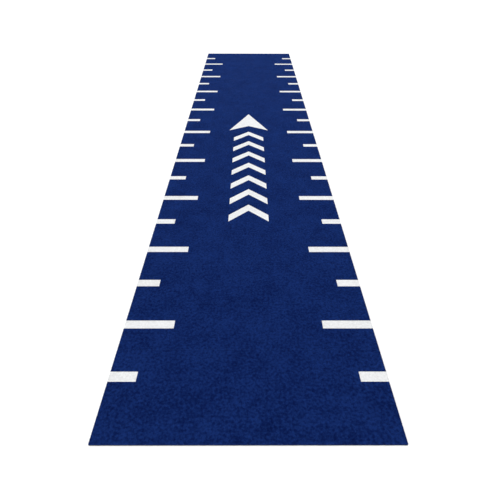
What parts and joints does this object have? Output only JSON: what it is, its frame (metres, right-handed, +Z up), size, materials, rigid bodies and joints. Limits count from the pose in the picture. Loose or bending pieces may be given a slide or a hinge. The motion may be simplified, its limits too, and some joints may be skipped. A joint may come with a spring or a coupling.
{
  "type": "turf sprint track",
  "caption": "Long flat strip of short-pile turf on a foam underlay, with white distance marks along both edges and an arrow motif, for sprints and sled work.",
  "frame": {"origin": "middle of the underside of the foam underlay, on the floor", "axes": "+Y along the track in the sprint direction, with the start line at -Y; +X to the runner's right; +Z up, out of the pile"},
  "size_m": [2, 10, 0.02],
  "materials": {
    "blue_pile": "matte",
    "white_pile": "matte",
    "turf_backing": "matte",
    "foam": "matte",
    "seam_tape": "matte"
  },
  "bodies": {
    "root": {"foam_backing": "foam", "seam_tapes_left": "seam_tape", "seam_tapes_right": "seam_tape", "seam_tapes_centre": "seam_tape", "field_backing": "turf_backing", "field_pile": "blue_pile", "mark_backings_left": "turf_backing", "mark_backings_right": "turf_backing", "motif_backings": "turf_backing", "mark_left_0_5m": "white_pile", "mark_left_1m": "white_pile", "mark_left_1_5m": "white_pile", "mark_left_2m": "white_pile", "mark_left_2_5m": "white_pile", "mark_left_3m": "white_pile", "mark_left_3_5m": "white_pile", "mark_left_4m": "white_pile", "mark_left_4_5m": "white_pile", "mark_left_5m": "white_pile", "mark_left_5_5m": "white_pile", "mark_left_6m": "white_pile", "mark_left_6_5m": "white_pile", "mark_left_7m": "white_pile", "mark_left_7_5m": "white_pile", "mark_left_8m": "white_pile", "mark_left_8_5m": "white_pile", "mark_left_9m": "white_pile", "mark_left_9_5m": "white_pile", "mark_right_0_5m": "white_pile", "mark_right_1m": "white_pile", "mark_right_1_5m": "white_pile", "mark_right_2m": "white_pile", "mark_right_2_5m": "white_pile", "mark_right_3m": "white_pile", "mark_right_3_5m": "white_pile", "mark_right_4m": "white_pile", "mark_right_4_5m": "white_pile", "mark_right_5m": "white_pile", "mark_right_5_5m": "white_pile", "mark_right_6m": "white_pile", "mark_right_6_5m": "white_pile", "mark_right_7m": "white_pile", "mark_right_7_5m": "white_pile", "mark_right_8m": "white_pile", "mark_right_8_5m": "white_pile", "mark_right_9m": "white_pile", "mark_right_9_5m": "white_pile", "chevron_1": "white_pile", "chevron_2": "white_pile", "chevron_3": "white_pile", "chevron_4": "white_pile", "chevron_5": "white_pile", "chevron_6": "white_pile", "chevron_7": "white_pile", "arrowhead": "white_pile"}
  },
  "joints": []
}
